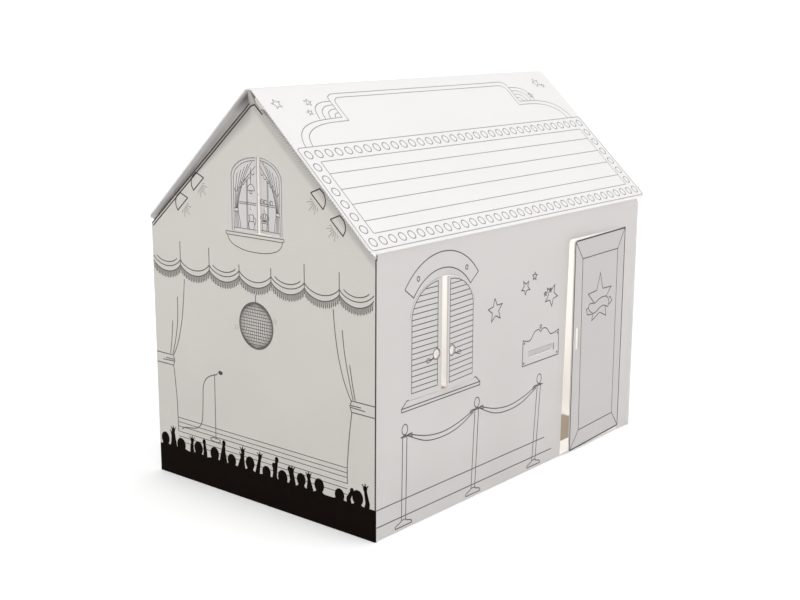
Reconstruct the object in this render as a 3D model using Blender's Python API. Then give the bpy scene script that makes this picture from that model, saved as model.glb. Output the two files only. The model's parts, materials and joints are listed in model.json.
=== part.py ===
# A child-size playhouse folded from white-lined corrugated board.
# Two wall sheets, each a gable end and a long wall in one piece, wrap round to make
# the walls. A creased roof sheet lies on them. The door, four window shutters and the
# letter flap are cut through the board on three sides and turn on their creases.
# Metres, +Z up. The front long wall faces -Y and the printed gable faces -X.
# It is built round the middle of its footprint, on the floor, and the finished part is
# then moved so that the origin is at the bottom centre of its whole box.

import math

import bmesh
import bpy
from mathutils import Matrix, Vector

# The board and its folds
board = 0.0045                  # thickness of the corrugated board
fold_inside = 0.001             # radius of the liner inside a fold
fold_steps = 4                  # flat facets round a fold
gap = 0.0003                    # clearance between faces that touch
kerf = 0.0015                   # width of a cut through the board
relief = 0.0015                 # slot at each end of a crease
leg_overlap = 0.004             # length over which a folded flap runs into its wall
crush = 0.00005                 # how far a sloping flap's faces lie inside its wall's

# The walls
house_length = 1.396            # outside, along X
house_width = 0.918             # outside, along Y
long_wall_height = 0.8215       # top crease of the front and back walls
gable_eave_height = 0.810       # where a gable's slopes start
gable_apex_height = 1.199       # the short flat crease at the top of a gable
apex_flat = 0.024               # length of that crease

# Flaps of a wall sheet
glue_flap = 0.040
glue_flap_foot = 0.012          # height of its lower end above the floor
glue_flap_drop = 0.012          # how far its upper end stays below the eave
glue_flap_taper = 0.010
long_floor_flap = 0.078
gable_floor_flap = 0.060
floor_flap_inset = 0.010        # wall left standing at each corner, past the floor flap
slope_flange = 0.050
slope_flange_inset = 0.020
slope_flange_taper = 0.020
roof_rest_flange = 0.050
roof_rest_inset = 0.060         # keeps the long wall's flange clear of the gable flanges
roof_rest_taper = 0.015
tongue_height = 0.0372          # from the gable's apex to its tip, which props the ridge
tongue_tip = 0.010              # width of its tip
tongue_root = 0.0015            # how far its root reaches down into the gable
tongue_lean = 0.0135            # how far its tip leans out from the gable

# The roof
ridge_flat = 0.024              # width of the strip between its two creases
roof_near_overhang = 0.015      # past the printed gable
roof_far_overhang = 0.045       # past the other gable: the sheet lies pushed along
eave_overhang = 0.004           # past the long walls
roof_corner_radius = 0.028

# The doorway and door, in the front wall
door_hinge_x = 0.618
door_width_top = 0.3555         # from the hinge crease to the free edge
door_width_foot = 0.352
doorway_top = 0.733
doorway_jamb_top = 0.262        # the free jamb leans: its top and its foot
doorway_jamb_foot = 0.243
doorway_corner_radius = 0.012
door_foot = 0.017               # height of the door's lower edge
door_ajar = 3.6                 # degrees
finger_slot_height = 0.078
finger_slot_width = 0.022
finger_slot_from_edge = 0.034
finger_slot_z = 0.4005

# The arched window in the front wall
window_x = -0.400
window_half_width = 0.152
window_slit = 0.015             # between the shutters
window_sill = 0.380
window_spring = 0.612
window_rise = 0.106
left_shutter_ajar = 0.5         # degrees, outward
right_shutter_ajar = 4.5
finger_hole = 0.027             # diameter
finger_hole_z = 0.494
finger_hole_from_hinge = 0.121

# The arched window in the printed gable
gable_window_y = -0.008
gable_window_half_width = 0.105
gable_window_sill = 0.826
gable_window_spring = 0.985
gable_window_rise = 0.064
gable_left_ajar = -1.5          # degrees, pushed inward
gable_right_ajar = -7.0
gable_push = 12.0               # how far they can be pushed in: their hinge edge is bevelled
gable_hole = 0.012
gable_hole_z = 0.899
gable_hole_from_slit = 0.0235

# The letter flap in the front wall
letter_x = 0.1115
letter_width = 0.142
letter_height = 0.023
letter_z = 0.4050               # its top crease
letter_ajar = 16.0              # degrees, pushed inward

arc_steps = 20                  # facets on an arched top
hole_steps = 24

# Worked out from the above
fold_outside = fold_inside + board
half_length = house_length / 2
half_width = house_width / 2
ridge_height = gable_apex_height + tongue_height + gap + board
gable_pitch = math.atan2(gable_apex_height - gable_eave_height, half_width - apex_flat / 2)

paper_white = (0.83, 0.82, 0.80, 1.0)
roof_white = (0.90, 0.90, 0.88, 1.0)


def start_collections():
    for leftover in list(bpy.data.objects):
        bpy.data.objects.remove(leftover, do_unlink=True)
    found = {}
    for name in ("cardboard_playhouse", "cutters"):
        collection = bpy.data.collections.new(name)
        bpy.context.scene.collection.children.link(collection)
        found[name] = collection
    return found["cardboard_playhouse"], found["cutters"]


parts, cutters = start_collections()


def board_material(name, colour):
    material = bpy.data.materials.new(name)
    material.use_nodes = True
    shader = material.node_tree.nodes["Principled BSDF"]
    shader.inputs["Base Color"].default_value = colour
    shader.inputs["Roughness"].default_value = 0.62
    shader.inputs["Metallic"].default_value = 0.0
    return material


# Outlines, as lists of 2D points

def arc(centre_x, centre_y, radius_x, radius_y, start, end, steps):
    points = []
    for step in range(steps + 1):
        angle = math.radians(start + (end - start) * step / steps)
        points.append((centre_x + radius_x * math.cos(angle), centre_y + radius_y * math.sin(angle)))
    return points


def arch_half(width, sill, spring, rise, side, step=0.0):
    # Half of an arched opening: its straight edge is the centre line at 0,
    # and it reaches out to the left (side -1) or to the right (side +1). The arch can
    # start a step in from the side.
    curve = arc(0, spring, width - step, rise, 0, 90, arc_steps // 2)
    if step:
        curve.insert(0, (width, spring))
    outline = [(0, sill), (width, sill)] + curve
    return [(side * x, y) for x, y in outline]


def slot_outline(x, y, width, height):
    radius = width / 2
    top = arc(x, y + height / 2 - radius, radius, radius, 0, 180, hole_steps // 2)
    bottom = arc(x, y - height / 2 + radius, radius, radius, 180, 360, hole_steps // 2)
    return top + bottom


def folded_outline(path, inset=0.0):
    # The section of a board folded along a path. The path is its outer face as if the
    # folds were sharp, and the board lies on the left of the path, where it also folds.
    # Both faces can be set in a little.
    outer = []
    inner = []
    for before, corner, after in zip(path, path[1:], path[2:]):
        a, b, c = Vector(before), Vector(corner), Vector(after)
        arriving = (b - a).normalized()
        leaving = (c - b).normalized()
        turn = math.atan2(arriving.cross(leaving), arriving.dot(leaving))
        left = Vector((-arriving.y, arriving.x))
        centre = b - arriving * fold_outside * math.tan(turn / 2) + left * fold_outside
        for step in range(fold_steps + 1):
            spoke = Matrix.Rotation(turn * step / fold_steps, 2) @ -left
            outer.append(tuple(centre + spoke * (fold_outside - inset)))
            inner.append(tuple(centre + spoke * (fold_inside + inset)))
    ends = []
    for near, far, end in ((path[0], path[1], path[0]), (path[-2], path[-1], path[-1])):
        heading = (Vector(far) - Vector(near)).normalized()
        left = Vector((-heading.y, heading.x))
        ends.append([tuple(Vector(end) + left * depth) for depth in (inset, board - inset)])
    first, last = ends
    return [first[0]] + outer + last + inner[::-1] + [first[1]]


# Solids

def solid(name, outline, depth, frame, collection=cutters, holes=()):
    # A flat outline given a depth, half to each side of its own plane, set in place by
    # a frame. The curve is turned into a mesh and its caps are welded on.
    curve = bpy.data.curves.new(name, "CURVE")
    curve.dimensions = "2D"
    curve.fill_mode = "BOTH"
    curve.extrude = depth / 2
    for points in (outline, *holes):
        spline = curve.splines.new("POLY")
        spline.points.add(len(points) - 1)
        for point, (x, y) in zip(spline.points, points):
            point.co = (x, y, 0, 1)
        spline.use_cyclic_u = True
    drawn = bpy.data.objects.new(name + "_outline", curve)
    cutters.objects.link(drawn)
    bpy.context.view_layer.update()
    graph = bpy.context.evaluated_depsgraph_get()
    mesh = bpy.data.meshes.new_from_object(drawn.evaluated_get(graph))
    bpy.data.objects.remove(drawn, do_unlink=True)
    mesh.name = name
    shape = bmesh.new()
    shape.from_mesh(mesh)
    bmesh.ops.remove_doubles(shape, verts=shape.verts, dist=0.00001)
    bmesh.ops.transform(shape, matrix=frame, verts=shape.verts)
    bmesh.ops.recalc_face_normals(shape, faces=shape.faces)
    shape.to_mesh(mesh)
    shape.free()
    mesh.materials.clear()
    made = bpy.data.objects.new(name, mesh)
    collection.objects.link(made)
    if collection is cutters:
        made.hide_render = True
        made.display_type = "WIRE"
    return made


def combine(target, tool, operation):
    # One Boolean, applied at once so that the next one sees its result, with the
    # solver's doubled points welded.
    modifier = target.modifiers.new(operation.lower(), "BOOLEAN")
    modifier.operation = operation
    modifier.solver = "EXACT"
    modifier.object = tool
    bpy.context.view_layer.update()
    graph = bpy.context.evaluated_depsgraph_get()
    mesh = bpy.data.meshes.new_from_object(target.evaluated_get(graph))
    target.modifiers.clear()
    shape = bmesh.new()
    shape.from_mesh(mesh)
    bmesh.ops.remove_doubles(shape, verts=shape.verts, dist=0.000005)
    bmesh.ops.dissolve_degenerate(shape, edges=shape.edges, dist=0.000005)
    shape.to_mesh(mesh)
    shape.free()
    used = target.data
    target.data = mesh
    bpy.data.meshes.remove(used)
    bpy.data.objects.remove(tool, do_unlink=True)


def frame_of(x_axis, y_axis, origin):
    x_axis = Vector(x_axis).normalized()
    y_axis = Vector(y_axis).normalized()
    z_axis = x_axis.cross(y_axis)
    turned = Matrix((x_axis, y_axis, z_axis)).transposed().to_4x4()
    return Matrix.Translation(origin) @ turned


def front_plane(y):
    # Outlines drawn in X and Z
    return frame_of((1, 0, 0), (0, 0, 1), (0, y, 0))


def side_plane(x):
    # Outlines drawn in Y and Z
    return frame_of((0, 1, 0), (0, 0, 1), (x, 0, 0))


def box(name, low, high):
    centre = (Vector(low) + Vector(high)) / 2
    size = Vector(high) - Vector(low)
    x, y = size.x / 2, size.y / 2
    outline = [(-x, -y), (x, -y), (x, y), (-x, y)]
    return solid(name, outline, size.z, Matrix.Translation(centre))


def add_flap(sheet, name, start, end, into_wall, into_flap, reach, inset, taper, thinner=0.0):
    # Folds a flap out of a sheet along the crease from start to end. Both directions
    # are unit vectors in the outer faces, away from the crease. The wall is cut back
    # along the crease, and the folded board takes its place, with a slot at each end.
    start, end = Vector(start), Vector(end)
    along = (end - start).normalized()
    length = (end - start).length
    into_wall, into_flap = Vector(into_wall).normalized(), Vector(into_flap).normalized()
    across = -(into_wall - into_flap * into_wall.dot(into_flap)).normalized()
    turn = math.pi - into_wall.angle(into_flap)
    fold_length = fold_outside * math.tan(turn / 2)
    middle = (start + end) / 2

    inside = into_flap if abs(into_wall.dot(into_flap)) < 0.001 else \
        (into_flap - into_wall * into_wall.dot(into_flap)).normalized()
    bar = [(-board, -board), (2 * board, -board), (2 * board, fold_length), (-board, fold_length)]
    crease_length = length - 2 * inset
    cut = solid(name + "_cut", bar, crease_length + 2 * relief, frame_of(inside, into_wall, middle))
    combine(sheet, cut, "DIFFERENCE")

    leg = fold_length + leg_overlap
    leg_end = (leg * into_wall.dot(into_flap), leg * into_wall.dot(across))
    section = folded_outline([(reach, 0), (0, 0), leg_end], thinner)
    flap = solid(name, section, crease_length, frame_of(into_flap, across, middle))

    far = 2 * reach
    side = crease_length / 2
    wedge = [(-side - board, -far), (side + board, -far), (side + board, -board), (side, 0),
             (side - taper * far / reach, far), (-side + taper * far / reach, far),
             (-side, 0), (-side - board, -board)]
    trim = solid(name + "_trim", wedge, 4 * leg, frame_of(along, into_flap, middle))
    combine(flap, trim, "INTERSECT")
    combine(sheet, flap, "UNION")


def wall_sheet(name):
    # The gable at -X and the long wall at -Y, as one folded sheet, before its openings.
    # Its glue flap goes inside the other sheet's gable.
    flap_x = half_length - board - gap
    plan = [(-half_length, half_width), (-half_length, -half_width), (flap_x, -half_width),
            (flap_x, -half_width + glue_flap)]
    middle_z = Matrix.Translation((0, 0, gable_apex_height / 2))
    sheet = solid(name, folded_outline(plan), gable_apex_height, middle_z, parts)

    # The gable's slopes
    over = gable_apex_height + board
    rise = over - gable_apex_height
    slant = (half_width - apex_flat / 2) / (gable_apex_height - gable_eave_height)
    low = gable_eave_height - board / slant
    above = [(-half_width - board, low), (-apex_flat / 2, gable_apex_height),
             (apex_flat / 2, gable_apex_height), (half_width + board, low),
             (half_width + board, over + rise), (-half_width - board, over + rise)]
    combine(sheet, solid("slopes", above, house_length, side_plane(-half_length + fold_outside - house_length / 2)),
            "DIFFERENCE")

    # The long wall's top
    wall_top = box("wall_top", (-half_length + fold_outside, -half_width - board, long_wall_height),
                   (half_length, 0, over + rise))
    combine(sheet, wall_top, "DIFFERENCE")

    # The glue flap's ends
    flap_top = gable_eave_height - glue_flap_drop
    flap_side = -half_width + fold_outside
    flap_end = -half_width + 2 * glue_flap
    for end_name, z, away in (("flap_foot", glue_flap_foot, -1), ("flap_head", flap_top, 1)):
        tip = z - away * glue_flap_taper * 2
        far = z + away * (over - flap_top + rise)
        outline = [(flap_side, z), (flap_end, tip), (flap_end, far), (flap_side, far)]
        combine(sheet, solid(end_name, outline, 4 * board, side_plane(flap_x)), "DIFFERENCE")

    # The floor flaps, folded in under the walls, with mitred ends
    add_flap(sheet, "long_floor", (-half_length, -half_width, 0), (flap_x, -half_width, 0),
             (0, 0, 1), (0, 1, 0), long_floor_flap, floor_flap_inset, long_floor_flap)
    add_flap(sheet, "gable_floor", (-half_length, -half_width, 0), (-half_length, half_width, 0),
             (0, 0, 1), (1, 0, 0), gable_floor_flap, floor_flap_inset, gable_floor_flap)

    # The gable's flanges, folded in under the roof
    for side in (-1, 1):
        eave = Vector((-half_length, side * half_width, gable_eave_height))
        apex = Vector((-half_length, side * apex_flat / 2, gable_apex_height))
        down = Vector((0, -side * math.sin(gable_pitch), -math.cos(gable_pitch)))
        add_flap(sheet, "slope_flange", eave, apex, down, (1, 0, 0),
                 slope_flange, slope_flange_inset, slope_flange_taper, crush)

    # The long wall's flange, which the roof rests on
    inward = (0, math.cos(roof_pitch), math.sin(roof_pitch))
    add_flap(sheet, "roof_rest", (-half_length, -half_width, long_wall_height),
             (half_length, -half_width, long_wall_height), (0, 0, -1), inward,
             roof_rest_flange, roof_rest_inset, roof_rest_taper, crush)

    # The tongue at the apex, which leans out and props the ridge
    lean = math.atan2(tongue_lean, tongue_height)
    reach = math.hypot(tongue_lean, tongue_height) - board * math.sin(lean)
    tongue = [(-apex_flat / 2, -tongue_root), (apex_flat / 2, -tongue_root), (apex_flat / 2, 0),
              (tongue_tip / 2, reach), (-tongue_tip / 2, reach), (-apex_flat / 2, 0)]
    up = Vector((-math.sin(lean), 0, math.cos(lean)))
    through = Vector((0, 1, 0)).cross(up)
    root = Vector((-half_length, 0, gable_apex_height)) + through * board / 2
    combine(sheet, solid("tongue", tongue, board, frame_of((0, 1, 0), up, root)), "UNION")
    return sheet


def roof_angle():
    # The roof's lower face passes just over the long wall's top crease and ends at the
    # ridge strip. The angle is found from that line, whose board is measured square to it.
    run = half_width - ridge_flat / 2
    rise = ridge_height - long_wall_height
    distance = math.hypot(run, rise)
    return math.atan2(rise, run) - math.asin((board + gap) / distance)


roof_pitch = roof_angle()


def roof_sheet():
    # The outer face from the front eave over the two ridge creases to the back eave
    run = half_width + eave_overhang - ridge_flat / 2
    eave_y = half_width + eave_overhang
    eave_z = ridge_height - run * math.tan(roof_pitch)
    path = [(eave_y, eave_z), (ridge_flat / 2, ridge_height), (-ridge_flat / 2, ridge_height),
            (-eave_y, eave_z)]
    length = house_length + roof_near_overhang + roof_far_overhang
    middle_x = (roof_far_overhang - roof_near_overhang) / 2
    roof = solid("roof_sheet", folded_outline(path), length, side_plane(middle_x), parts)

    # Rounded corners: the spandrel between two edges and an arc is cut away, square to
    # the slope
    radius = roof_corner_radius
    corner = arc(radius, radius, radius, radius, 180, 270, fold_steps * 2)
    spandrel = corner + [(radius, -board), (-board, -board), (-board, radius)]
    for side_x in (-1, 1):
        for side_y in (-1, 1):
            tip = Vector((middle_x + side_x * length / 2, side_y * eave_y, eave_z))
            up_slope = Vector((0, -side_y * math.cos(roof_pitch), math.sin(roof_pitch)))
            place = frame_of((-side_x, 0, 0), up_slope, tip)
            combine(roof, solid("roof_corner", spandrel, 4 * board, place), "DIFFERENCE")
    return roof


def hinged(name, outline, holes, pivot, frame, degrees, axis, sink, bevel=()):
    # A flap cut from the board, drawn in its closed place with the hinge at the origin
    # of its outline. Its object's origin is on the hinge, and it stands ajar. The board
    # lies from the hinge's face inward, or outward where sink is negative. The bevel is
    # the plan of what is cut from its hinge edge.
    flap = solid(name, outline, board, frame, parts, holes)
    flap.data.transform(Matrix.Translation(sink))
    if bevel:
        combine(flap, solid("bevel", bevel, 4 * house_width, Matrix()), "DIFFERENCE")
    flap.location = pivot
    flap.rotation_euler = Vector(axis) * math.radians(degrees)
    return flap


def cut_opening(sheet, outline, plane):
    combine(sheet, solid("opening", outline, 4 * board, plane), "DIFFERENCE")


def door_and_doorway(sheet):
    foot = fold_outside
    radius = doorway_corner_radius
    top_corner = arc(doorway_jamb_top + radius, doorway_top - radius, radius, radius, 90, 180, 4)
    opening = [(doorway_jamb_foot, foot), (door_hinge_x, foot), (door_hinge_x, doorway_top)] + top_corner
    cut_opening(sheet, opening, front_plane(-half_width))

    top = doorway_top - kerf
    free = -door_width_top
    corner = arc(free + radius, top - radius, radius, radius, 90, 180, 4)
    outline = [(-door_width_foot, door_foot), (-gap, door_foot), (-gap, top)] + corner
    slot = slot_outline(free + finger_slot_from_edge, finger_slot_z, finger_slot_width,
                        finger_slot_height)
    return hinged("door", outline, [slot], (door_hinge_x, -half_width, 0), front_plane(0),
                  door_ajar, (0, 0, 1), (0, board / 2, 0))


def round_hole(x, z, diameter):
    return arc(x, z, diameter / 2, diameter / 2, 0, 360, hole_steps)[:-1]


def shutter_outline(half, sill, spring, rise, side, push=0.0, slit=kerf):
    # One shutter, drawn from its hinge towards the slit. Side -1 hinges at the left.
    # Its arch is cut free of the wall, by more where it is also pushed in far.
    width = half - gap - kerf / 2
    reach = half - slit / 2
    cut = max(kerf, gap + board * math.tan(math.radians(push)))
    shape = arch_half(width, sill + kerf, spring, rise - kerf, side, cut - gap)
    return [(-side * min(half - kerf / 2 - side * x, reach), z) for x, z in shape]


def front_window(sheet):
    left = arch_half(window_half_width, window_sill, window_spring, window_rise, -1)
    right = arch_half(window_half_width, window_sill, window_spring, window_rise, 1)
    opening = left[1:] + right[:0:-1]
    plane = front_plane(-half_width)
    moved = [(x + window_x, z) for x, z in opening]
    cut_opening(sheet, moved, plane)
    for side, name, ajar in ((-1, "shutter_left", left_shutter_ajar),
                             (1, "shutter_right", right_shutter_ajar)):
        outline = shutter_outline(window_half_width, window_sill, window_spring, window_rise,
                                  side, slit=window_slit)
        hole = round_hole(-side * finger_hole_from_hinge, finger_hole_z, finger_hole)
        pivot = (window_x + side * window_half_width, -half_width, 0)
        hinged(name, outline, [hole], pivot, front_plane(0), side * ajar, (0, 0, 1),
               (0, board / 2, 0))


def gable_window(sheet):
    half, sill = gable_window_half_width, gable_window_sill
    left = arch_half(half, sill, gable_window_spring, gable_window_rise, -1)
    right = arch_half(half, sill, gable_window_spring, gable_window_rise, 1)
    opening = [(y + gable_window_y, z) for y, z in left[1:] + right[:0:-1]]
    cut_opening(sheet, opening, side_plane(-half_length))
    # Seen from outside, the left shutter is the one at +Y.
    for side, name, ajar in ((1, "gable_shutter_left", gable_left_ajar),
                             (-1, "gable_shutter_right", gable_right_ajar)):
        outline = shutter_outline(half, sill, gable_window_spring, gable_window_rise, side,
                                  gable_push)
        hole = round_hole(-side * (half - gable_hole_from_slit), gable_hole_z, gable_hole)
        pivot = (-half_length, gable_window_y + side * half, 0)
        depth = 2 * board
        bevel = [(0, -side * gap), (depth, -side * (gap + depth * math.tan(math.radians(gable_push)))),
                 (depth, side * depth), (-depth, side * depth), (-depth, -side * gap)]
        hinged(name, outline, [hole], pivot, side_plane(0), -side * ajar, (0, 0, 1),
               (board / 2, 0, 0), bevel)


def letter_flap(sheet):
    half = letter_width / 2
    opening = [(letter_x - half, letter_z - letter_height), (letter_x + half, letter_z - letter_height),
               (letter_x + half, letter_z), (letter_x - half, letter_z)]
    cut_opening(sheet, opening, front_plane(-half_width))
    # Pushed inward, it turns on the inner face, so its board lies outward of the hinge.
    side = half - kerf
    outline = [(-side, -letter_height + kerf), (side, -letter_height + kerf),
               (side, -gap), (-side, -gap)]
    hinged("letter_flap", outline, [], (letter_x, -half_width + board, letter_z), front_plane(0),
           letter_ajar, (1, 0, 0), (0, -board / 2, 0))


def centre_on_origin():
    # The roof overhangs one gable more than the other and the door stands out in front.
    bpy.context.view_layer.update()
    corners = [part.matrix_world @ vertex.co for part in parts.objects
               for vertex in part.data.vertices]
    low = Vector([min(corner[axis] for corner in corners) for axis in range(3)])
    high = Vector([max(corner[axis] for corner in corners) for axis in range(3)])
    shift = Vector(((low.x + high.x) / 2, (low.y + high.y) / 2, low.z))
    for part in parts.objects:
        part.location -= shift


def build():
    front = wall_sheet("front_wall_sheet")
    back = wall_sheet("back_wall_sheet")
    back.data.transform(Matrix.Rotation(math.pi, 4, "Z"))
    door_and_doorway(front)
    front_window(front)
    gable_window(front)
    letter_flap(front)
    roof_sheet()
    centre_on_origin()
    for part in parts.objects:
        colour = roof_white if part.name == "roof_sheet" else paper_white
        part.data.materials.clear()
        part.data.materials.append(board_material(part.name + "_board", colour))


build()
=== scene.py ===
import json
import math
import random

import bpy
from mathutils import Matrix, Vector

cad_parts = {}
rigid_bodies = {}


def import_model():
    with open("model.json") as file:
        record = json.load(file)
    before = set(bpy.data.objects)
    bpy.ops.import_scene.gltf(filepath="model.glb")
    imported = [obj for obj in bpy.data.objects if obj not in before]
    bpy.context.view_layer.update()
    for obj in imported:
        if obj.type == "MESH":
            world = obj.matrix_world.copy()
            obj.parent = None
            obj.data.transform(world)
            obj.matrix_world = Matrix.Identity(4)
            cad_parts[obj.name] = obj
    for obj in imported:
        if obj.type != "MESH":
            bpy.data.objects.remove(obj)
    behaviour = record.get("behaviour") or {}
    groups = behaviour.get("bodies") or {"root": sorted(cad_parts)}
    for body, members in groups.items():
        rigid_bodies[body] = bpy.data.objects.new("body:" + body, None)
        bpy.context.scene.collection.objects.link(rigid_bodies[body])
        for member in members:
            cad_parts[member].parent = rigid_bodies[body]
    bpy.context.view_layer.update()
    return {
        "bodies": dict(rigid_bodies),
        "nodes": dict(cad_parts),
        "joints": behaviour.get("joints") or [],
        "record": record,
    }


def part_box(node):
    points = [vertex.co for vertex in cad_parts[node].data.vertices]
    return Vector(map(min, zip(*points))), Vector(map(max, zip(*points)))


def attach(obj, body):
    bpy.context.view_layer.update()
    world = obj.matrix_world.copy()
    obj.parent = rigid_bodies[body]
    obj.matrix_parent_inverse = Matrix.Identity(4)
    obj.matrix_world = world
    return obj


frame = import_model()

# The walls as the CAD has them: outer faces, metres. The drawings below are laid out from
# the middle of the footprint, which lies a little off the origin. The roof's outer face
# passes roofSeat above the wall's top.
sheetLow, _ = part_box("front_wall_sheet")
house = {"length": 1.396, "width": 0.918, "eave": 0.810, "apex": 1.199, "flat": 0.024,
         "board": 0.0045, "bend": 0.0055, "ridge": 1.241, "ridgeFlat": 0.024, "wallTop": 0.8215,
         "roofSeat": 0.0048}
midX = -0.015
midY = sheetLow[1] + house["width"] / 2
frontY = sheetLow[1]
gableX = midX - house["length"] / 2
jointAt = {joint["name"]: joint for joint in frame["joints"]}


# shader maths

class Wire:
    # One number or vector in a node tree, with the usual signs for maths
    def __init__(self, make, socket):
        self.make = make
        self.socket = socket

    def maths(self, kind, *others):
        return self.make.node("ShaderNodeMath", {"operation": kind}, [self, *others])

    def __add__(self, other):
        return self.maths("ADD", other)

    __radd__ = __add__

    def __sub__(self, other):
        return self.maths("SUBTRACT", other)

    def __rsub__(self, other):
        return self * -1.0 + other

    def __mul__(self, other):
        return self.maths("MULTIPLY", other)

    __rmul__ = __mul__

    def __truediv__(self, other):
        return self.maths("DIVIDE", other)

    def __lt__(self, other):
        return self.maths("LESS_THAN", other)

    def __gt__(self, other):
        return self.maths("GREATER_THAN", other)


class Material:
    def __init__(self, name, roughness=0.6):
        self.material = bpy.data.materials.new(name)
        self.material.use_nodes = True
        self.tree = self.material.node_tree
        self.shader = self.tree.nodes["Principled BSDF"]
        self.shader.inputs["Roughness"].default_value = roughness
        self.place = self.node("ShaderNodeTexCoord", out="Object")
        split = self.node("ShaderNodeSeparateXYZ", {}, [self.place], whole=True)
        self.x, self.y, self.z = [Wire(self, split.outputs[i]) for i in range(3)]

    def node(self, kind, settings=None, values=(), out=0, whole=False):
        made = self.tree.nodes.new(kind)
        for key, value in (settings or {}).items():
            setattr(made, key, value)
        pairs = values.items() if isinstance(values, dict) else enumerate(values)
        for key, value in pairs:
            if isinstance(value, Wire):
                self.tree.links.new(value.socket, made.inputs[key])
            else:
                made.inputs[key].default_value = value
        return made if whole else Wire(self, made.outputs[out])

    def mix(self, amount, low, high):
        return self.node("ShaderNodeMix", {"data_type": "RGBA"}, {0: amount, 6: low, 7: high}, out=2)

    def noise(self, scale, detail=3):
        return self.node("ShaderNodeTexNoise", {}, {"Vector": self.place, "Scale": scale, "Detail": detail})

    def clamp(self, value, *limits):
        return self.node("ShaderNodeClamp", {}, [value, *limits])

    def plug(self, **wires):
        for name, wire in wires.items():
            self.tree.links.new(wire.socket, self.shader.inputs[name.replace("_", " ")])

    def bump(self, height, strength, distance):
        self.plug(Normal=self.node("ShaderNodeBump", {}, {"Strength": strength, "Distance": distance,
                                                          "Height": height}))


def grey(value, warmth=0.0):
    return (value, value * (1 - warmth), value * (1 - 1.5 * warmth), 1)


# board

# Painted shade on the gable: a shadow under the roof's edges, the crease's highlight and shade, and a
# slight darkening of the whole face
gableShade = {"reach": 0.026, "edge": 85, "from": 0.86, "fade": 0.17, "fadeRange": (0.006, 0.060),
              "blend": 30, "front": 0.20, "back": 0.57, "crease": 0.8105, "creaseWidth": 0.003,
              "lit": 0.018, "dark": 0.020, "plain": 0.982, "tint": (1, 0.990, 0.945, 1), "skin": 0.0022}
# Painted shade on the roof's underside where it overhangs the gable
overhangShade = {"plain": 0.61, "ridge": 0.09, "depth": 0.050, "low": 1.165, "rise": 22,
                 "lead": 0.0146, "deepen": 44}


def gablePaintedShade(m, shade):
    # The gable is a little yellower than the front. Its colour also carries painted shade: a painted
    # shadow close under the roof's edges, a slight painted darkening of the whole face, and the
    # faint crease at eave height, where the sheet lies folded in its box, with a painted highlight
    # above it and painted shade below it
    half, flat = house["width"] / 2, house["flat"] / 2
    slope = (house["apex"] - house["eave"]) / (half - flat)
    out = (m.y - midY).maths("ABSOLUTE")
    below = (house["apex"] - (out - flat) * slope - m.z) * math.cos(math.atan(slope))
    back = m.clamp((m.y - midY) * shade["blend"] + 0.5)
    under = m.clamp((shade["reach"] - below) * shade["edge"])
    fade = m.clamp((m.z - shade["from"]) * shade["fade"], *shade["fadeRange"])
    near = m.clamp(1 - below / fade)
    # painted shadow under the roof's edges, along the front slope and, fading lower down, along the back
    # one
    paintedShadow = (1 - back) * under * shade["front"] + back * near * shade["back"]
    crease, width = shade["crease"], shade["creaseWidth"]
    # the crease: a painted highlight above it and painted shade below it
    lit = (m.z > crease) * (m.z < crease + width)
    dark = (m.z > crease - width) * (m.z < crease)
    value = lit * shade["lit"] + shade["plain"] - dark * shade["dark"] - paintedShadow
    tint = m.mix(value, grey(0), shade["tint"])
    return m.mix(m.x < gableX + shade["skin"], grey(1), tint)


def overhangPaintedShade(m, look, inside):
    # The roof's underside at the gable is painted darker as shade, darkest as painted shade up under the
    # ridge beside the tongue
    shade = look["overhang"]
    beside = (m.y - midY).maths("ABSOLUTE") > house["ridgeFlat"] / 2
    close = m.clamp((m.z - shade["low"]) * shade["rise"])
    deep = m.clamp((m.x - gableX + shade["lead"]) * shade["deepen"])
    plain, ridge = grey(shade["plain"], look["cream"]), grey(shade["ridge"], look["cream"])
    return m.mix(m.x < gableX + shade["depth"], inside, m.mix(beside * close * deep, plain, ridge))


def cutEdges(m, faces, liner=0.0006):
    # Masks of what lies within all the outer faces, and of the core between the two liners
    within, core = None, None
    for point, outward in faces:
        depth = (m.x * -outward[0] + m.y * -outward[1] + m.z * -outward[2]) + point.dot(outward)
        deeper = depth > house["board"] * 0.9
        middle = (depth > liner) * (depth < house["board"] - liner)
        core = middle if within is None else core * deeper + middle * within
        within = deeper if within is None else within * deeper
    return within, core


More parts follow.
